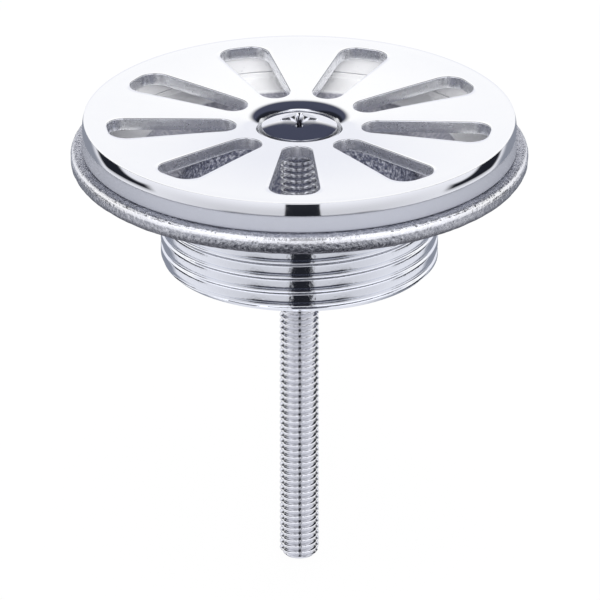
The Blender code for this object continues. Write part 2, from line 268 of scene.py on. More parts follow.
def spun(grid, turn):
    """A grid turned about the axis."""
    cos, sin = math.cos(turn), math.sin(turn)
    across, along, height = grid[..., 0], grid[..., 1], grid[..., 2]
    return np.stack([across * cos - along * sin, across * sin + along * cos, height], axis=-1)


def at_height(line, height):
    """A line in the plane with a height given to its points."""
    return np.column_stack([line, np.broadcast_to(height, len(line))])


def from_row(first, rows, columns):
    """1 at the points of a grid from one row on, and 0 before it."""
    return np.repeat(np.arange(rows) >= first, columns)


# Threads


def groove_radius(height, theta, crest, depth, land, pitch, groove, softness):
    """Radius of a right-hand thread at a height and an angle.

    The distance to the nearest groove's middle, with its bottom rounded, makes a
    straight flank. The flank and the crest meet in the smooth lower of the two.
    """
    blunt = 0.2
    phase = (height - groove) / pitch - theta / TAU
    away = np.abs(phase - np.round(phase)) * pitch
    half = (pitch - land) / 2
    flank = depth * (np.sqrt(away**2 + (blunt * half) ** 2) / half - 1) / (1 - blunt)
    return crest + (flank - np.sqrt(flank**2 + softness**2)) / 2


def helical_heights(top, floor, pitch, groove, shares, columns):
    """Heights of rows that climb with the thread, held between two levels.

    A row at one share of the pitch follows the same line of the thread all round,
    so the last column of one turn meets the first column of the next.
    """
    turns = math.ceil((top - floor) / pitch) + 2
    first = groove + pitch * math.ceil((top - groove) / pitch)
    offsets = (np.arange(turns)[:, None] + np.asarray(shares)[None, :]).ravel()
    rows = first - pitch * offsets[:, None] + pitch * angles(columns)[None, :] / TAU
    return np.clip(rows, floor, top)


# Meshes


def grid_faces(rows, columns, start):
    """Quads between neighbouring points of a grid, as rows of four point numbers."""
    index = start + np.arange(rows * columns).reshape(rows, columns)
    corners = [index[:-1, :-1], index[:-1, 1:], index[1:, 1:], index[1:, :-1]]
    return np.stack(corners, axis=-1).reshape(-1, 4)


def shade(item, crease):
    """Smooth shading, with edges sharper than the crease, in degrees, kept sharp."""
    item.data.shade_smooth()
    item.data.set_sharp_from_angle(angle=math.radians(crease))


def piece(name, grids, crease, **layers):
    """A closed mesh from grids of points in millimetres.

    Points that coincide are merged, which closes seams and poles, faces point
    outwards, and edges sharper than the crease stay sharp. Each layer gives a
    share from 0 to 1 for each point, which the finish reads by the layer's name.
    """
    points = np.vstack([grid.reshape(-1, 3) for grid in grids]) * MM
    faces, start = [], 0
    for grid in grids:
        faces.append(grid_faces(grid.shape[0], grid.shape[1], start))
        start += grid.shape[0] * grid.shape[1]
    mesh = bpy.data.meshes.new(name)
    mesh.from_pydata(points, [], np.vstack(faces))
    for key, shares in layers.items():
        layer = mesh.attributes.new(key, "FLOAT", "POINT")
        layer.data.foreach_set("value", np.ascontiguousarray(shares, dtype=np.float32).ravel())
    welded = bmesh.new()
    welded.from_mesh(mesh)
    bmesh.ops.remove_doubles(welded, verts=welded.verts, dist=0.001 * MM)
    bmesh.ops.dissolve_degenerate(welded, edges=welded.edges, dist=0.0005 * MM)
    bmesh.ops.recalc_face_normals(welded, faces=welded.faces)
    welded.to_mesh(mesh)
    welded.free()
    item = bpy.data.objects.new(name, mesh)
    bpy.context.scene.collection.objects.link(item)
    shade(item, crease)
    return item


def carve(item, tool, operation, crease):
    """Cut a tool from a piece, or join it on, and drop the tool."""
    modifier = item.modifiers.new("carve", "BOOLEAN")
    modifier.operation = operation
    modifier.object = tool
    modifier.solver = "EXACT"
    graph = bpy.context.evaluated_depsgraph_get()
    mesh = bpy.data.meshes.new_from_object(item.evaluated_get(graph))
    item.modifiers.clear()
    item.data = mesh
    bpy.data.objects.remove(tool, do_unlink=True)
    shade(item, crease)
    return item


# Noise for surfaces left as cast


def cell_value(cell):
    """A fixed value from -1 to 1 for each whole-numbered cell, from a sine's far digits."""
    mixed = np.sin(cell @ np.array([127.1, 311.7, 74.7])) * 43758.5453
    return 2 * (mixed - np.floor(mixed)) - 1


def lumps(points, size):
    """Smooth noise: cell corners' values, blended along each axis by 3t^2 - 2t^3."""
    scaled = points / size
    cell = np.floor(scaled)
    share = scaled - cell
    blend = share * share * (3 - 2 * share)
    total = 0
    for corner in np.ndindex(2, 2, 2):
        near = np.array(corner)
        weight = np.prod(np.where(near, blend, 1 - blend), axis=-1)
        total = total + weight * cell_value(cell + near)
    return total


def cast_relief(points):
    """Height of a sand-cast skin in shares of its depth: three sizes of lumps."""
    coarse, middle, fine = lumps(points, 1.9), lumps(points + 50, 0.95), lumps(points + 90, 0.5)
    return 0.5 * coarse + 0.35 * middle + 0.3 * fine


# Grid plate


def plate_height(radius):
    """Height of the grid's top, which sinks towards the centre as a logarithm."""
    return PLATE_TOP + PLATE_DISH_RATE * np.log(radius / PLATE_RADIUS)


def top_of(line):
    """Height of the grid's top at the points of a line in the plane."""
    return plate_height(np.linalg.norm(line, axis=1))


def slot_line(spread):
    """A slot's outline along +X, spread outwards, in four runs that share their ends.

    The outer run goes up to the middles of the corners, the side runs follow, and
    the inner run is the half circle at the slot's tip.
    """
    corner_reach = SLOT_OUTER_RADIUS - SLOT_CORNER_RADIUS
    corner_side = SLOT_OUTER_HALF_WIDTH - SLOT_CORNER_RADIUS
    corner_along = math.sqrt(corner_reach**2 - corner_side**2)
    widening = SLOT_OUTER_HALF_WIDTH - SLOT_INNER_HALF_WIDTH
    lean = math.asin(widening / (corner_along - SLOT_TIP_CENTRE))
    aim = math.asin(corner_side / corner_reach)
    side_on = TAU / 4 + lean
    split = (aim + side_on) * SLOT_CORNER_SPLIT
    corner, tip = (corner_along, corner_side), (SLOT_TIP_CENTRE, 0)
    corner_radius = SLOT_CORNER_RADIUS + spread
    fine = 60
    half_outer = np.vstack([
        arc((0, 0), SLOT_OUTER_RADIUS + spread, 0, aim, fine),
        arc(corner, corner_radius, aim, split, fine),
    ])
    half_inner = arc(tip, SLOT_INNER_HALF_WIDTH + spread, side_on, TAU / 2, fine)
    side = np.vstack([arc(corner, corner_radius, split, side_on, fine), half_inner[:1]])
    mirror = np.array([1, -1])
    outer = even(np.vstack([(half_outer * mirror)[::-1], half_outer]), SLOT_OUTER_RUN + 1)
    upper = even(side, SLOT_SIDE_RUN + 1)
    inner = even(np.vstack([half_inner, (half_inner * mirror)[::-1]]), SLOT_INNER_RUN + 1)
    lower = even((side * mirror)[::-1], SLOT_SIDE_RUN + 1)
    return np.vstack([outer[:-1], upper[:-1], inner[:-1], lower])


def sector_line():
    """The border of one slot's share of the plate, in the same runs as its slot."""
    half = TAU / SLOT_COUNT / 2
    outer = arc((0, 0), RIM_INNER_RADIUS, -half, half, SLOT_OUTER_RUN + 1)
    inner = arc((0, 0), HUB_OUTER_RADIUS, half, -half, SLOT_INNER_RUN + 1)
    reach = np.linspace(RIM_INNER_RADIUS, HUB_OUTER_RADIUS, SLOT_SIDE_RUN + 1)
    upper = np.stack([reach * math.cos(half), reach * math.sin(half)], axis=1)
    lower = (upper * np.array([1, -1]))[::-1]
    return np.vstack([outer[:-1], upper[:-1], inner[:-1], lower])


def slot_sector():
    """One slot's share of the plate: top, rolled edge, wall, foot and underside."""
    border = sector_line()
    rows = []
    edge = slot_line(SLOT_TOP_ROUND)
    for share in np.linspace(0, 1, SLOT_TOP_ROWS + 1)[:-1] ** SLOT_TOP_CROWDING:
        line = border + (edge - border) * share
        rows.append(at_height(line, top_of(line)))
    for swing in np.linspace(0, TAU / 4, SLOT_EDGE_ROWS):
        line = slot_line(SLOT_TOP_ROUND * (1 - math.sin(swing)))
        rows.append(at_height(line, top_of(line) - SLOT_TOP_ROUND * (1 - math.cos(swing))))
    wall = slot_line(0)
    wall_top = rows[-1][:, 2]
    wall_floor = top_of(wall) - PLATE_THICKNESS + SLOT_FOOT_ROUND
    for share in (1 / 3, 2 / 3):
        rows.append(at_height(wall, wall_top + (wall_floor - wall_top) * share))
    for swing in np.linspace(0, TAU / 4, 4):
        line = slot_line(SLOT_FOOT_ROUND * (1 - math.cos(swing)))
        under = top_of(line) - PLATE_THICKNESS
        rows.append(at_height(line, under + SLOT_FOOT_ROUND * (1 - math.sin(swing))))
    foot = slot_line(SLOT_FOOT_ROUND)
    for share in np.linspace(0, 1, 5)[1:]:
        line = foot + (border - foot) * share
        rows.append(at_height(line, top_of(line) - PLATE_THICKNESS))
    return np.stack(rows)


def rim_line():
    """Section of the rim: top, broken edge, slightly crowned wall, foot and underside."""
    inner_top = plate_height(RIM_INNER_RADIUS)
    swing = np.linspace(PLATE_CROWN_TURN, 0, PLATE_CROWN_POINTS)
    reach = PLATE_RADIUS - PLATE_CROWN_RADIUS * (1 - np.cos(swing))
    level = PLATE_CROWN_FOOT + PLATE_CROWN_RADIUS * np.sin(swing)
    breaks = [PLATE_EDGE_BREAK] + [0] * (PLATE_CROWN_POINTS - 1)
    return section(
        [
            (RIM_INNER_RADIUS, inner_top, 0),
            *zip(reach, level, breaks),
            (PLATE_RADIUS, PLATE_FLOOR, PLATE_FOOT_ROUND),
            (RIM_INNER_RADIUS, inner_top - PLATE_THICKNESS, 0),
        ],
        step=0.4,
    )


def dimple_height(radius):
    """Height of the hub's top, rolled down into the dimple.

    Its slope grows from the dish's at the brow to the dimple's at its foot, as a
    power of the share of the way in, so the depth is the next power over its order.
    """
    width = HUB_OUTER_RADIUS - DIMPLE_FOOT_RADIUS
    share = (HUB_OUTER_RADIUS - radius) / width
    order = DIMPLE_BEND + 1
    return plate_height(radius) - DIMPLE_SLOPE * width * share**order / order


def hub_line():
    """Section of the hub: dimple, ledge, countersink, hole and underside."""
    reach = np.linspace(HUB_OUTER_RADIUS, DIMPLE_FOOT_RADIUS, DIMPLE_ROWS)
    top = np.stack([reach, dimple_height(reach)], axis=1)
    foot = top[-1, 1]
    under = plate_height(HUB_OUTER_RADIUS) - PLATE_THICKNESS
    inner = section(
        [
            (DIMPLE_FOOT_RADIUS, foot, 0),
            (DIMPLE_FOOT_RADIUS - HUB_LEDGE, foot - HUB_LEDGE, 0),
            (HUB_HOLE_RADIUS, HUB_FLOOR + HUB_HOLE_LAND, 0.1),
            (HUB_HOLE_RADIUS, HUB_FLOOR, 0),
            (HUB_RADIUS, HUB_FLOOR, 0.2),
            (HUB_RADIUS + under - HUB_FLOOR, under, 0.3),
            (HUB_OUTER_RADIUS, under, 0),
        ],
        step=0.5,
    )
    return np.vstack([top, inner[1:]])


def make_grid_plate():
    """The slotted grid: nine slot sectors between a rim and a hub."""
    sector, rim, hub = slot_sector(), rim_line(), hub_line()
    first = FRONT + SLOT_TURN
    border = first - TAU / SLOT_COUNT / 2
    rim_columns, hub_columns = SLOT_OUTER_RUN * SLOT_COUNT, SLOT_INNER_RUN * SLOT_COUNT
    grids = [spun(sector, first - TAU * index / SLOT_COUNT) for index in range(SLOT_COUNT)]
    grids.append(spun(turned(rim, rim_columns), border))
    grids.append(spun(turned(hub, hub_columns), border))
    wall_row = SLOT_TOP_ROWS + SLOT_EDGE_ROWS - 1
    satin = [from_row(wall_row, len(sector), sector.shape[1])] * SLOT_COUNT
    satin.append(from_row(len(rim) - RIM_UNDER_ROWS, len(rim), rim_columns + 1))
    satin.append(from_row(DIMPLE_ROWS, len(hub), hub_columns + 1))
    return piece("grid_plate_polished", grids, crease=38, satin=np.concatenate(satin))


# Centre screw


def recess_tool():
    """The cross recess as a tapered cross with rounded corners, closed at both ends.

    Half an arm's width is the core's, plus the mouth's spread times a power of the
    share of the way up, so the mouth is wide and the core narrow.
    """
    top = HEAD_RIM + HEAD_RISE + RECESS_CLEARANCE
    floor = HEAD_RIM + HEAD_RISE - RECESS_DEPTH
    rows = []
    for share in np.linspace(0, 1, RECESS_ROWS):
        span = RECESS_HALF_SPAN + (RECESS_FLOOR_HALF_SPAN - RECESS_HALF_SPAN) * share
        width = RECESS_CORE_HALF_WIDTH + RECESS_MOUTH_SPREAD * (1 - share) ** RECESS_MOUTH_POWER
        tip_fillet = RECESS_TIP_FILLET * width
        arm = (
            (span, width, tip_fillet),
            (width, width, RECESS_INNER_FILLET),
            (width, span, tip_fillet),
        )
        outline = [(span, 0, 0)]
        for corner in range(4):
            turn = TAU * corner / 4
            cos, sin = round(math.cos(turn)), round(math.sin(turn))
            for across, along, fillet in arm:
                place = across * cos - along * sin, across * sin + along * cos
                outline.append((*place, fillet * (1 - 0.5 * share)))
        outline.append((span, 0, 0))
        line = even(section(outline, step=0.05, arc_steps=8), 120)
        rows.append(at_height(line, top + (floor - top) * share))
    onto_axis = [0, 0, 1]
    rows = [rows[0] * onto_axis, *rows, rows[-1] * onto_axis]
    return piece("recess_tool", [np.stack(rows)], crease=40)


def screw_thread():
    """The screw's thread, cut back at its tip by a chamfer of 45 degrees."""
    heights = helical_heights(
        SCREW_THREAD_TOP, SCREW_TIP, SCREW_PITCH, SCREW_TIP, SCREW_ROW_SHARES, SCREW_COLUMNS
    )
    theta = angles(SCREW_COLUMNS)
    radius = groove_radius(
        heights, theta, SCREW_CREST, SCREW_DEPTH, SCREW_LAND, SCREW_PITCH, SCREW_TIP, SCREW_SOFTNESS
    )
    radius = np.minimum(radius, SCREW_TIP_RADIUS + (heights - SCREW_TIP))
    return wrapped(radius, heights, theta)


def make_centre_screw():
    """Raised countersunk screw: domed head, cone, thread to the head, chamfered tip."""
    dome_radius = (HEAD_RADIUS**2 + HEAD_RISE**2) / (2 * HEAD_RISE)
    dome_centre = HEAD_RIM + HEAD_RISE - dome_radius
    swing = np.linspace(0, math.asin(HEAD_RADIUS / dome_radius), HEAD_DOME_ROWS)
    reach, level = dome_radius * np.sin(swing), dome_centre + dome_radius * np.cos(swing)
    dome = np.stack([reach, level], axis=1)
    land_floor = HEAD_RIM - HEAD_LAND
    neck = section(
        [
            (HEAD_RADIUS - 0.02, HEAD_RIM, 0),
            (HEAD_RADIUS, HEAD_RIM - 0.05, 0),
            (HEAD_RADIUS, land_floor, 0.05),
            (SCREW_NECK_RADIUS, land_floor + SCREW_NECK_RADIUS - HEAD_RADIUS, 0.3),
            (SCREW_NECK_RADIUS, SCREW_THREAD_TOP, 0),
        ],
        step=0.3,
    )
    end = np.array([(SCREW_END_RADIUS, SCREW_TIP), (0.0, SCREW_TIP)])
    rows = np.vstack([
        turned(np.vstack([dome, neck]), SCREW_COLUMNS),
        screw_thread(),
        turned(end, SCREW_COLUMNS),
    ])
    screw = piece("centre_screw_threaded", [rows], crease=40)
    return carve(screw, recess_tool(), "DIFFERENCE", crease=34)


# Seal ring


def make_seal_ring():
    """Flat seal whose outer side leans in a little towards its top."""
    line = section(
        [
            (SEAL_INNER_RADIUS, SEAL_TOP / 2, 0),
            (SEAL_INNER_RADIUS, SEAL_TOP, 0.2),
            (SEAL_TOP_RADIUS, SEAL_TOP, 0.15),
            (SEAL_RADIUS, SEAL_FLOOR, 0.32),
            (SEAL_INNER_RADIUS, SEAL_FLOOR, 0.2),
            (SEAL_INNER_RADIUS, SEAL_TOP / 2, 0),
        ],
        step=0.45,
    )
    return piece("seal_ring_moulded", [turned(line, SEAL_COLUMNS)], crease=45)


# Waste cup


def cup_line():
    """Section of the cup from the stub's end up its bore, over the lip and down the throat."""
    return section(
        [
            (STUB_CREST - STUB_CHAMFER, STUB_FOOT, 0),
            (BORE_RADIUS, STUB_FOOT, 0.35),
            (BORE_RADIUS, FUNNEL_FOOT, 1.2),
            (SHELF_INNER_RADIUS, SHELF, 0.35),
            (SHELF_OUTER_RADIUS, SHELF, 0.25),
            (SHELF_OUTER_RADIUS, 0, 0.15),
            (LIP_RADIUS, 0, LIP_TOP_ROUND),
            (LIP_RADIUS, LIP_FLOOR, LIP_FOOT_ROUND),
            (THROAT_OUTER_RADIUS, LIP_FLOOR, 1.0),
            (THROAT_FOOT_RADIUS, THROAT_FOOT, 0.5),
            (STUB_CREST + 0.02, THROAT_FOOT, 0),
        ],
        step=0.48,
        arc_steps=7,
    )


def cup_zones(line):
    """Along the cup's section: how rough it is, where it is hollow and gets painted shade, and where
    its shelf is.
    """
    radius, height = line[:, 0], line[:, 1]
    throat = (height < LIP_FLOOR + 0.2) & (radius > THROAT_FOOT_RADIUS)
    outside = (radius > SHELF_OUTER_RADIUS + 0.3) | throat
    hollow = (radius < SHELF_INNER_RADIUS - 0.2) & (height > STUB_FOOT + 1.0)
    cast = np.where(outside, CAST_OUTSIDE, np.where(hollow, CAST_INSIDE, CAST_MACHINED))
    shelf = (radius > SHELF_INNER_RADIUS - 0.2) & (radius < SHELF_OUTER_RADIUS + 0.1)
    return cast, hollow, shelf & (height > SHELF - 0.4)


def cast_skin(line, cast):
    """The cup's section turned round, moved along its normal by the relief where it is rough."""
    slope = np.gradient(line, axis=0)
    slope = slope / np.linalg.norm(slope, axis=1, keepdims=True)
    theta = angles(CUP_COLUMNS)
    across, along = slope[:, 1:] * -np.cos(theta), slope[:, 1:] * -np.sin(theta)
    outward = np.stack([across, along, slope[:, :1] + 0 * theta], axis=2)
    grid = turned(line, CUP_COLUMNS)
    depth = np.where(cast > CAST_MACHINED, CAST_DEPTH * cast, 0.0)
    relief = depth[:, None] * cast_relief(grid)
    return grid + outward * relief[..., None]


def stub_thread():
    """The stub's thread: wide flat crests, flat-bottomed grooves and a chamfered end."""
    theta = angles(CUP_COLUMNS)
    chamfer_top = STUB_FOOT + STUB_CHAMFER
    climbing = helical_heights(
        THROAT_FOOT, chamfer_top, STUB_PITCH, STUB_GROOVE, STUB_ROW_SHARES, CUP_COLUMNS
    )
    level = np.linspace(chamfer_top, STUB_FOOT, 8)[1:, None] + 0 * theta
    heights = np.vstack([climbing, level])
    radius = groove_radius(
        heights, theta, STUB_CREST, STUB_DEPTH, STUB_LAND, STUB_PITCH, STUB_GROOVE, STUB_SOFTNESS
    )
    radius = np.maximum(radius, STUB_ROOT)
    radius = np.minimum(radius, STUB_CREST - STUB_CHAMFER + (heights - STUB_FOOT))
    return wrapped(radius, heights, theta)


def make_waste_cup():
    """The casting in one skin, with a rough outside and a machined thread."""
    line, thread = cup_line(), stub_thread()
    cast, hollow, shelf = cup_zones(line)
    rows = np.vstack([cast_skin(line, cast), thread])
    zones = {"cast": (cast, CAST_THREAD), "hollow": (hollow, 0), "shelf": (shelf, 0)}
    layers = {
        key: np.repeat(np.concatenate([zone, np.full(len(thread), rest)]), CUP_COLUMNS + 1)
        for key, (zone, rest) in zones.items()
    }
    return piece("waste_cup_casting", [rows], crease=42, **layers)


def bridge_bar():
    """The bar: a rounded rectangle carried along X, with its ends closed."""
    half_length = math.sqrt((BORE_RADIUS + BRIDGE_BURIED) ** 2 - BRIDGE_HALF_WIDTH**2)
    half_height = (BRIDGE_TOP - BRIDGE_FLOOR) / 2
    middle = (BRIDGE_FLOOR + BRIDGE_TOP) / 2
    line = section(
        [
            (BRIDGE_HALF_WIDTH, 0, 0),
            (BRIDGE_HALF_WIDTH, half_height, BRIDGE_ROUND),
            (-BRIDGE_HALF_WIDTH, half_height, BRIDGE_ROUND),
            (-BRIDGE_HALF_WIDTH, -half_height, BRIDGE_ROUND),
            (BRIDGE_HALF_WIDTH, -half_height, BRIDGE_ROUND),
            (BRIDGE_HALF_WIDTH, 0, 0),
        ],
        step=0.5,
    )
    across, up = line[:, 0], middle + line[:, 1]
    stations = np.linspace(-half_length, half_length, BRIDGE_STATIONS)
    bar = np.stack([np.column_stack([np.full(len(line), x), across, up]) for x in stations])
    ends = (-half_length, half_length)
    caps = [np.broadcast_to([x, 0.0, middle], bar[:1].shape) for x in ends]
    return np.vstack([caps[0], bar, caps[1]])


def make_cup_bridge():
    """The bar across the bore and its tapped boss, cast in one with the cup."""
    boss_line = section(
        [
            (0.0, BOSS_FLOOR, 0),
            (BOSS_RADIUS, BOSS_FLOOR, 0.4),
            (BOSS_RADIUS, BOSS_TOP, 0.5),
            (0.0, BOSS_TOP, 0),
        ],
        step=0.5,
    )
    hole_line = section(
        [
            (0.0, BRIDGE_FLOOR - 1, 0),
            (BRIDGE_HOLE_RADIUS, BRIDGE_FLOOR - 1, 0),
            (BRIDGE_HOLE_RADIUS, BOSS_TOP + 1, 0),
            (0.0, BOSS_TOP + 1, 0),
        ],
        step=1.0,
    )
    bridge = piece("waste_cup_bridge", [bridge_bar()], crease=40)
    boss = piece("bridge_boss", [turned(boss_line, 72)], crease=40)
    carve(bridge, boss, "UNION", crease=40)
    hole = piece("bridge_hole", [turned(hole_line, 48)], crease=40)
    return carve(bridge, hole, "DIFFERENCE", crease=40)


# Finishes


class Signal:
    """A value that varies over a surface; arithmetic on it adds Math nodes."""

    def __init__(self, finish, socket):
        self.finish = finish
        self.socket = socket

    def __add__(self, other):
        return self.finish.math("ADD", self, other)

    def __radd__(self, other):
        return self.finish.math("ADD", other, self)

    def __sub__(self, other):
        return self.finish.math("SUBTRACT", self, other)

    def __rsub__(self, other):
        return self.finish.math("SUBTRACT", other, self)

    def __mul__(self, other):
        return self.finish.math("MULTIPLY", self, other)

    def __rmul__(self, other):
        return self.finish.math("MULTIPLY", other, self)

    def __abs__(self):
        return self.finish.math("ABSOLUTE", self)

    def most(self, other):
        """The larger of two values."""
        return self.finish.math("MAXIMUM", self, other)

    def step(self, low, high):
        """0 below low, 1 above high, and a smooth rise between."""
        settings = {"interpolation_type": "SMOOTHSTEP"}
        values = {"Value": self, "From Min": low, "From Max": high}
        return self.finish.node("ShaderNodeMapRange", settings, values)


class Finish:
    """Nodes added one at a time to a material, or to the world."""

    def __init__(self, owner):
        self.owner = owner
        owner.use_nodes = True
        self.tree = owner.node_tree
        self.tree.nodes.clear()

    def node(self, kind, settings=None, values=None, result=0):
        """Add a node: its settings first, then its sockets' values or links.

        It gives back the output that the result names, or nothing for a node
        without outputs.
        """
        item = self.tree.nodes.new(kind)
        for key, value in (settings or {}).items():
            setattr(item, key, value)
        for key, value in (values or {}).items():
            if isinstance(value, Signal):
                self.tree.links.new(value.socket, item.inputs[key])
            else:
                item.inputs[key].default_value = value
        return Signal(self, item.outputs[result]) if item.outputs else None

    def math(self, operation, first, second=0.0):
        """One Math node on one or two values."""
        return self.node("ShaderNodeMath", {"operation": operation}, {0: first, 1: second})

    def place(self, scale=(1, 1, 1)):
        """Object coordinates, stretched by a scale."""
        spot = self.node("ShaderNodeTexCoord", result="Object")
        return self.node("ShaderNodeMapping", None, {"Vector": spot, "Scale": scale})

    def part(self, place, axis):
        """One coordinate of a place: 0, 1 or 2 for X, Y or Z."""
        return self.node("ShaderNodeSeparateXYZ", None, {0: place}, axis)

    def radius(self):
        """Distance from the object's axis, in metres."""
        flat = self.place((1, 1, 0))
        return self.node("ShaderNodeVectorMath", {"operation": "LENGTH"}, {0: flat}, "Value")

    def noise(self, place, size, detail=3.0, rough=0.55):
        """Noise whose lumps are about a size across, in metres."""
        values = {"Vector": place, "Scale": 1 / size, "Detail": detail, "Roughness": rough}
        return self.node("ShaderNodeTexNoise", None, values, "Fac")

    def layer(self, name):
        """A share stored at the piece's points."""
        return self.node("ShaderNodeAttribute", {"attribute_name": name}, None, "Fac")

    def blend(self, share, first, second):
        """A colour between two."""
        values = {0: share, 6: color(first), 7: color(second)}
        return self.node("ShaderNodeMix", {"data_type": "RGBA"}, values, 2)

    def bump(self, height, distance, normal=None):
        """A normal tilted by the slope of a height, over another normal or the surface's."""
        values = {"Height": height, "Distance": distance, "Strength": 1.0}
        if normal is not None:
            values["Normal"] = normal
        return self.node("ShaderNodeBump", None, values)

    def seen(self):
        """1 for a ray from the camera, a mirror or glass, and 0 for plain light."""
        names = ("Is Camera Ray", "Is Glossy Ray", "Is Transmission Ray")
        camera, mirror, glass = (self.node("ShaderNodeLightPath", result=name) for name in names)
        return camera.most(mirror.most(glass))

    def surface(self, **values):
        """Close a material with one shader, whose sockets are named in small letters."""
        sockets = {key.replace("_", " ").title(): value for key, value in values.items()}
        return self.close(self.node("ShaderNodeBsdfPrincipled", None, sockets))

    def close(self, shader, output="ShaderNodeOutputMaterial"):
        """Link the last shader to the output, and give back the material or the world."""
        self.node(output, None, {"Surface": shader})
        return self.owner


def color(value):
    """A colour written as a tuple gets its alpha; a signal stays as it is."""
    return (*value, 1.0) if isinstance(value, tuple) else value


def polished_chrome():
    """Bright plate with faint wiping marks, and a satin skin in the slots and below."""
    finish = Finish(bpy.data.materials.new("polished_chrome"))
    spot = finish.place()
    satin = finish.layer("satin")
    wipe = finish.noise(finish.place((1, 0.12, 1)), 0.0012, 4.0)
    haze = finish.noise(spot, 0.009, 3.0)
    wave = finish.noise(spot, 0.006, 1.0)
    skin = finish.noise(spot, 0.0003, 3.0)
    marks = wipe.step(0.5, 0.75)
    bright = finish.blend(haze, (0.9, 0.905, 0.925), (0.93, 0.935, 0.945))
    dull = finish.blend(skin.step(0.3, 0.7), (0.82, 0.83, 0.87), (0.92, 0.93, 0.95))
    return finish.surface(
        base_color=finish.blend(satin, bright, dull),
        metallic=1.0 - 0.04 * satin,
        roughness=0.035 + 0.04 * marks + 0.02 * haze + 0.22 * satin,
        normal=finish.bump(wipe + 7 * satin * skin, 0.0000006, finish.bump(wave, 0.000004)),
    )


def cast_chrome(name, buried):
    """Chrome over a sand-cast skin: machined thread, pale shelf, rough inside with painted shade.

    A buried piece lies in the bore and has no layers, so it takes one share of each.
    """
    finish = Finish(bpy.data.materials.new(name))
    spot = finish.place()
    cast, hollow, shelf = 0.3, 0.0, 0.6
    if not buried:
        cast, hollow, shelf = (finish.layer(key) for key in ("cast", "hollow", "shelf"))
    grain = finish.noise(spot, 0.00055, 4.0, 0.65)
    fine = finish.noise(spot, 0.0002, 3.0, 0.6)
    cells = {"Vector": spot, "Scale": 1300.0}
    pits = finish.node("ShaderNodeTexVoronoi", {"feature": "F1"}, cells, "Distance")
    hollows = 1 - pits.step(0.12, 0.5)
    worn = finish.noise(spot, 0.004, 3.0)
    height = finish.part(spot, 2)
    radial = finish.radius()
    # The lip's top face, its upper edge and its foot, by radius and height in metres, for painted
    # light: a lighter top face, a painted highlight on the edge and painted shade at the foot
    lip = radial.step(0.0296, 0.03)
    top = lip * height.step(-0.0003, -0.0001)
    edge = lip * height.step(-0.0011, -0.0007) * (1 - top)
    foot = radial.step(0.0318, 0.0326) * (1 - height.step(-0.0027, -0.0014))
    rough_tint = finish.blend(grain.step(0.32, 0.68), (0.42, 0.43, 0.47), (0.74, 0.745, 0.77))
    # Painted shade: the lip's foot, which faces down, is tinted near black
    foot_shade_tint = finish.blend(grain.step(0.4, 0.75), (0.05, 0.05, 0.07), (0.28, 0.28, 0.32))
    # Painted light: the lip's top face is tinted lighter than the rest of the rough skin
    lit_top_tint = finish.blend(grain.step(0.35, 0.7), (0.6, 0.61, 0.67), (0.95, 0.955, 0.98))
    rough_tint = finish.blend(foot, rough_tint, foot_shade_tint)
    rough_tint = finish.blend(top, rough_tint, lit_top_tint)
    # Painted highlight: the lip's upper edge is tinted near white
    rough_tint = finish.blend(edge, rough_tint, (0.93, 0.93, 0.94))
    smooth_tint = finish.blend(worn, (0.88, 0.9, 0.95), (0.93, 0.945, 0.975))
    # Painted shade in the hollow: dark down the bore, less dark up the funnel
    bore_shade_tint = finish.blend(grain.step(0.42, 0.68), (0.15, 0.16, 0.23), (0.8, 0.81, 0.88))
    funnel_shade_tint = finish.blend(grain.step(0.35, 0.7), (0.36, 0.36, 0.42), (0.62, 0.62, 0.67))
    funnel = height.step(-0.0066, -0.0052)
    hollow_shade_tint = finish.blend(funnel, bore_shade_tint, funnel_shade_tint)
    tint = finish.blend(hollow, finish.blend(cast, smooth_tint, rough_tint), hollow_shade_tint)
    relief = grain + 0.45 * fine - 0.5 * hollows
    grit = cast * (0.08 + 0.2 * grain) * (1 - 0.7 * edge)
    return finish.surface(
        base_color=finish.blend(shelf, tint, (0.95, 0.95, 0.955)),
        metallic=1.0 - 0.9 * shelf - 0.3 * hollow * (1 + funnel),
        roughness=0.05 + grit + 0.04 * worn + 0.4 * shelf,
        normal=finish.bump(relief * (0.01 + 0.99 * cast) * (1 - 0.6 * edge), 0.00014),
    )


def bright_steel():
    """Plated screw: painted shade makes it a little darker down in its thread, where it is also
    duller, and dark far down in its recess.
    """
    finish = Finish(bpy.data.materials.new("bright_steel"))
    radial = finish.radius()
    height = finish.part(finish.place(), 2)
    # Painted shade: the thread's root is tinted darker
    root = 1 - radial.step(0.0024, 0.0029)
    # Painted shade: the recess is tinted near black below its mouth
    recess_shade = height.step(0.0005, 0.001) * (1 - height.step(0.0032, 0.0039))
    recess_shade = recess_shade * (1 - radial.step(0.003, 0.0034))
    haze = finish.noise(finish.place(), 0.0022, 4.0)
    drawn = finish.noise(finish.place((1, 1, 6)), 0.0006, 3.0)
    plated = finish.blend(haze, (0.88, 0.885, 0.91), (0.95, 0.95, 0.965))
    plated = finish.blend(0.4 * root, plated, (0.5, 0.51, 0.56))
    return finish.surface(
        base_color=finish.blend(recess_shade, plated, (0.12, 0.12, 0.15)),
        metallic=1.0,
        roughness=0.06 + 0.05 * haze + 0.08 * root,
        normal=finish.bump(drawn, 0.000003),
    )


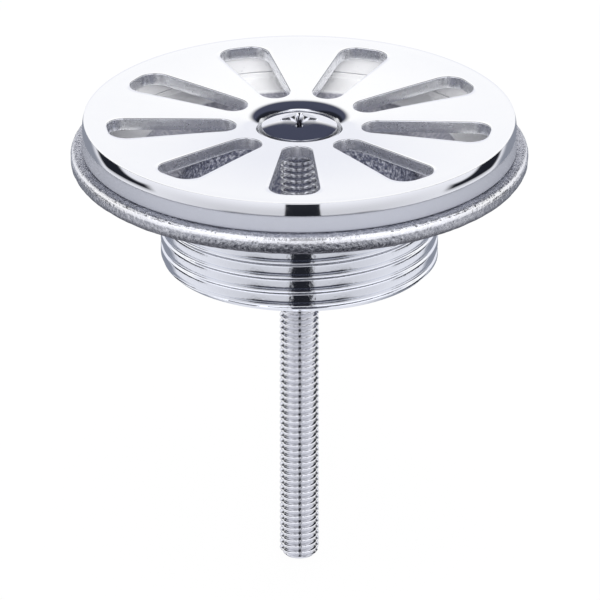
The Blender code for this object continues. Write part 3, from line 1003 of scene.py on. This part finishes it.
def pale_seal():
    """Even blue-grey seal with a fine moulded skin, and painted light on its inner side, which is
    tinted near white.
    """
    finish = Finish(bpy.data.materials.new("pale_seal"))
    spot = finish.place()
    mottle = finish.noise(spot, 0.005, 4.0)
    skin = finish.noise(spot, 0.00025, 3.0)
    specks = finish.noise(spot, 0.0009, 2.0).step(0.66, 0.74)
    # Painted light: the inner side is tinted near white to brighten the hollow under the slots
    inner = 1 - finish.radius().step(0.0305, 0.031)
    outer_tint = finish.blend(mottle, (0.33, 0.345, 0.4), (0.36, 0.37, 0.42))
    tint = finish.blend(inner, outer_tint, (0.93, 0.93, 0.94))
    return finish.surface(
        base_color=finish.blend(0.25 * specks, tint, (0.42, 0.43, 0.5)),
        metallic=0.0,
        roughness=0.34 + 0.12 * skin + 0.05 * mottle,
        normal=finish.bump(skin, 0.000012),
    )


# Studio


def stage_sheet(name, rows, material):
    """A sheet of the set from a grid of points in metres."""
    mesh = bpy.data.meshes.new(name)
    mesh.from_pydata(rows.reshape(-1, 3), [], grid_faces(rows.shape[0], rows.shape[1], 0))
    item = bpy.data.objects.new(name, mesh)
    bpy.context.scene.collection.objects.link(item)
    item.data.materials.append(material)
    item.data.shade_smooth()
    return item


def floor_material():
    """Pale floor that a camera sees partly as plain white, and that keeps the shadow."""
    finish = Finish(bpy.data.materials.new("pale_floor"))
    grain = finish.noise(finish.place(), 0.02, 3.0)
    pale = finish.blend(grain, (0.86, 0.86, 0.87), (0.88, 0.88, 0.88))
    matt = finish.node("ShaderNodeBsdfDiffuse", None, {"Color": pale})
    white = finish.node("ShaderNodeEmission", None, {"Color": WHITE, "Strength": 1.0})
    shaders = {0: 0.96 * finish.seen(), 1: matt, 2: white}
    return finish.close(finish.node("ShaderNodeMixShader", None, shaders))


def tent_material():
    """What polished metal mirrors, painted by direction on a ball round the object.

    Tilt is a direction's sideways angle. Pitch turns about X: 0 is level behind
    the object, 90 is straight up, 180 level at the camera's side and 270 down.
    """
    finish = Finish(bpy.data.materials.new("light_tent"))
    way = finish.node("ShaderNodeVectorMath", {"operation": "NORMALIZE"}, {0: finish.place()})
    right, back, up = (finish.part(way, axis) for axis in range(3))
    degrees = 360 / TAU
    tilt = finish.math("ARCSINE", right) * degrees
    pitch = finish.math("ARCTAN2", up, back) * degrees
    pitch = pitch + 360 * finish.math("LESS_THAN", pitch, -90)
    sideways = abs(tilt)

    def band(low, low_soft, high, high_soft):
        """1 between two pitches, with a soft change inside each end."""
        return pitch.step(low, low + low_soft) * (1 - pitch.step(high - high_soft, high))

    # A dark panel from high behind to overhead, with slanted eaves, and a slit in front
    middle = 1 - sideways.step(12, 18)
    wing = sideways - 18 * pitch.step(38, 50)
    eaves = (pitch + 0.65 * sideways).step(29, 42) * (1 - wing.step(33, 41))
    roof = eaves * (1 - pitch.step(88, 96) * middle) * (1 - pitch.step(96, 106))
    slit = 1 - abs(tilt - 1.6).step(8.0, 8.8)
    slit = slit * (band(106, 4, 152, 4) + band(170, 3, 232, 4))

    # Dark low in front, and a low dark panel at each side
    below = band(206, 14, 272, 6) * (1 - sideways.step(28, 40))
    sides = sideways.step(50, 56) * (1 - sideways.step(74, 80)) * back.step(-0.2, -0.05)
    sides = sides * up.step(-0.39, -0.34) * (1 - up.step(0.0, 0.08))
    dark = roof.most(below).most(sides)

    # Pale walls: brighter high up, dimmer low down, and grey low behind
    front = band(92, 8, 166, 20) * (1 - sideways.step(50, 75))
    far = pitch.step(20.5, 25) * (1 - pitch.step(60, 80))
    low = 1 - up.step(-0.45, 0.25)
    near = 1 - back.step(-0.9, 0.1)
    low_behind = (1 - sideways.step(42, 52)) * band(-62, 20, -6, 8)
    level = 0.98 + 0.1 * far + 0.3 * front - low * (0.1 + 0.19 * near)

    pale = finish.blend(far, (0.93, 0.94, 1.0), (1.0, 1.0, 1.0))
    tint = finish.blend(low_behind, pale, (0.3, 0.32, 0.38))
    black = finish.blend(sideways.step(20, 28), (0.058, 0.064, 0.1), (0.016, 0.018, 0.026))
    tint = finish.blend(dark, tint, black)
    tint = finish.blend(slit, tint, (0.022, 0.024, 0.032))
    return finish.close(finish.node("ShaderNodeEmission", None, {"Color": tint, "Strength": level}))


def make_floor():
    """A plain level sheet just under the screw's tip that doesn't show in mirrors."""
    reach = np.linspace(-FLOOR_REACH, FLOOR_REACH, 5)
    across, along = np.meshgrid(reach, reach)
    points = np.stack([across, along, np.full_like(across, FLOOR)], axis=2)
    sheet = stage_sheet("studio_floor", points, floor_material())
    sheet.visible_glossy = False


def make_tent():
    """A ball round the object that only mirrors see."""
    theta, swing = np.meshgrid(angles(96), np.linspace(TENT_POLE_ANGLE, TAU / 2 - TENT_POLE_ANGLE, 49))
    reach = np.sin(swing)
    directions = np.stack([reach * np.cos(theta), reach * np.sin(theta), np.cos(swing)], axis=2)
    tent = stage_sheet("light_tent", TENT_RADIUS * directions, tent_material())
    for rays in ("camera", "diffuse", "transmission", "shadow", "volume_scatter"):
        setattr(tent, f"visible_{rays}", False)


def make_lamps():
    """Soft square lamps that are aimed at the object and don't show in mirrors."""
    for name, place, size, power in (
        ("front_lamp", (0.0, -1.2, 0.62), 0.35, 6.0),
        ("key_lamp", (0.2, -0.85, 1.0), 0.5, 2.0),
        ("top_lamp", (0.0, -0.2, 1.0), 1.4, 6.0),
        ("back_lamp", (0.2, 0.9, 0.9), 0.9, 3.0),
    ):
        lamp = bpy.data.lights.new(name, "AREA")
        lamp.shape = "SQUARE"
        lamp.size = size
        lamp.energy = power
        item = bpy.data.objects.new(name, lamp)
        item.location = place
        item.rotation_euler = (-Vector(place)).to_track_quat("-Z", "Y").to_euler()
        item.visible_glossy = False
        bpy.context.scene.collection.objects.link(item)


def make_world():
    """White where it is seen, and a little dimmer as plain light."""
    finish = Finish(bpy.data.worlds.new("white_room"))
    strength = WORLD_LIGHT + (1 - WORLD_LIGHT) * finish.seen()
    sky = finish.node("ShaderNodeBackground", None, {"Color": WHITE, "Strength": strength})
    bpy.context.scene.world = finish.close(sky, "ShaderNodeOutputWorld")


def make_camera():
    """A long lens that looks down on the object from the front, as in the photograph."""
    lens = bpy.data.cameras.new("photograph")
    lens.sensor_width = SENSOR_WIDTH
    lens.lens = SENSOR_WIDTH * FOCAL_LENGTH / PHOTO_WIDTH
    lens.clip_end = 50.0
    camera = bpy.data.objects.new("photograph", lens)
    across, along, up = CAMERA_AIM
    along = along - CAMERA_DISTANCE * math.cos(CAMERA_PITCH)
    up = up + CAMERA_DISTANCE * math.sin(CAMERA_PITCH)
    camera.location = (across, along, up)
    camera.rotation_euler = (TAU / 4 - CAMERA_PITCH, 0.0, 0.0)
    bpy.context.scene.collection.objects.link(camera)
    bpy.context.scene.camera = camera
    bpy.context.scene.view_settings.view_transform = "Standard"


def dress(item, material, body, slot, *nodes):
    """Give a piece its finish, its body and the solids that it stands for; its slot is not used."""
    item.data.materials.clear()
    item.data.materials.append(material)
    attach(item, body)
    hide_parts(*nodes)


make_floor()
make_tent()
make_lamps()
make_world()
make_camera()
dress(make_waste_cup(), cast_chrome("cast_chrome", False), "cup", "cast_chrome", "waste_cup")
dress(make_cup_bridge(), cast_chrome("cast_chrome_bridge", True), "cup", "cast_chrome", "waste_cup")
dress(make_seal_ring(), pale_seal(), "seal", "pale_seal", "seal_ring")
dress(make_grid_plate(), polished_chrome(), "grid", "polished_chrome", "grid_plate")
dress(make_centre_screw(), bright_steel(), "screw", "bright_steel", "centre_screw")
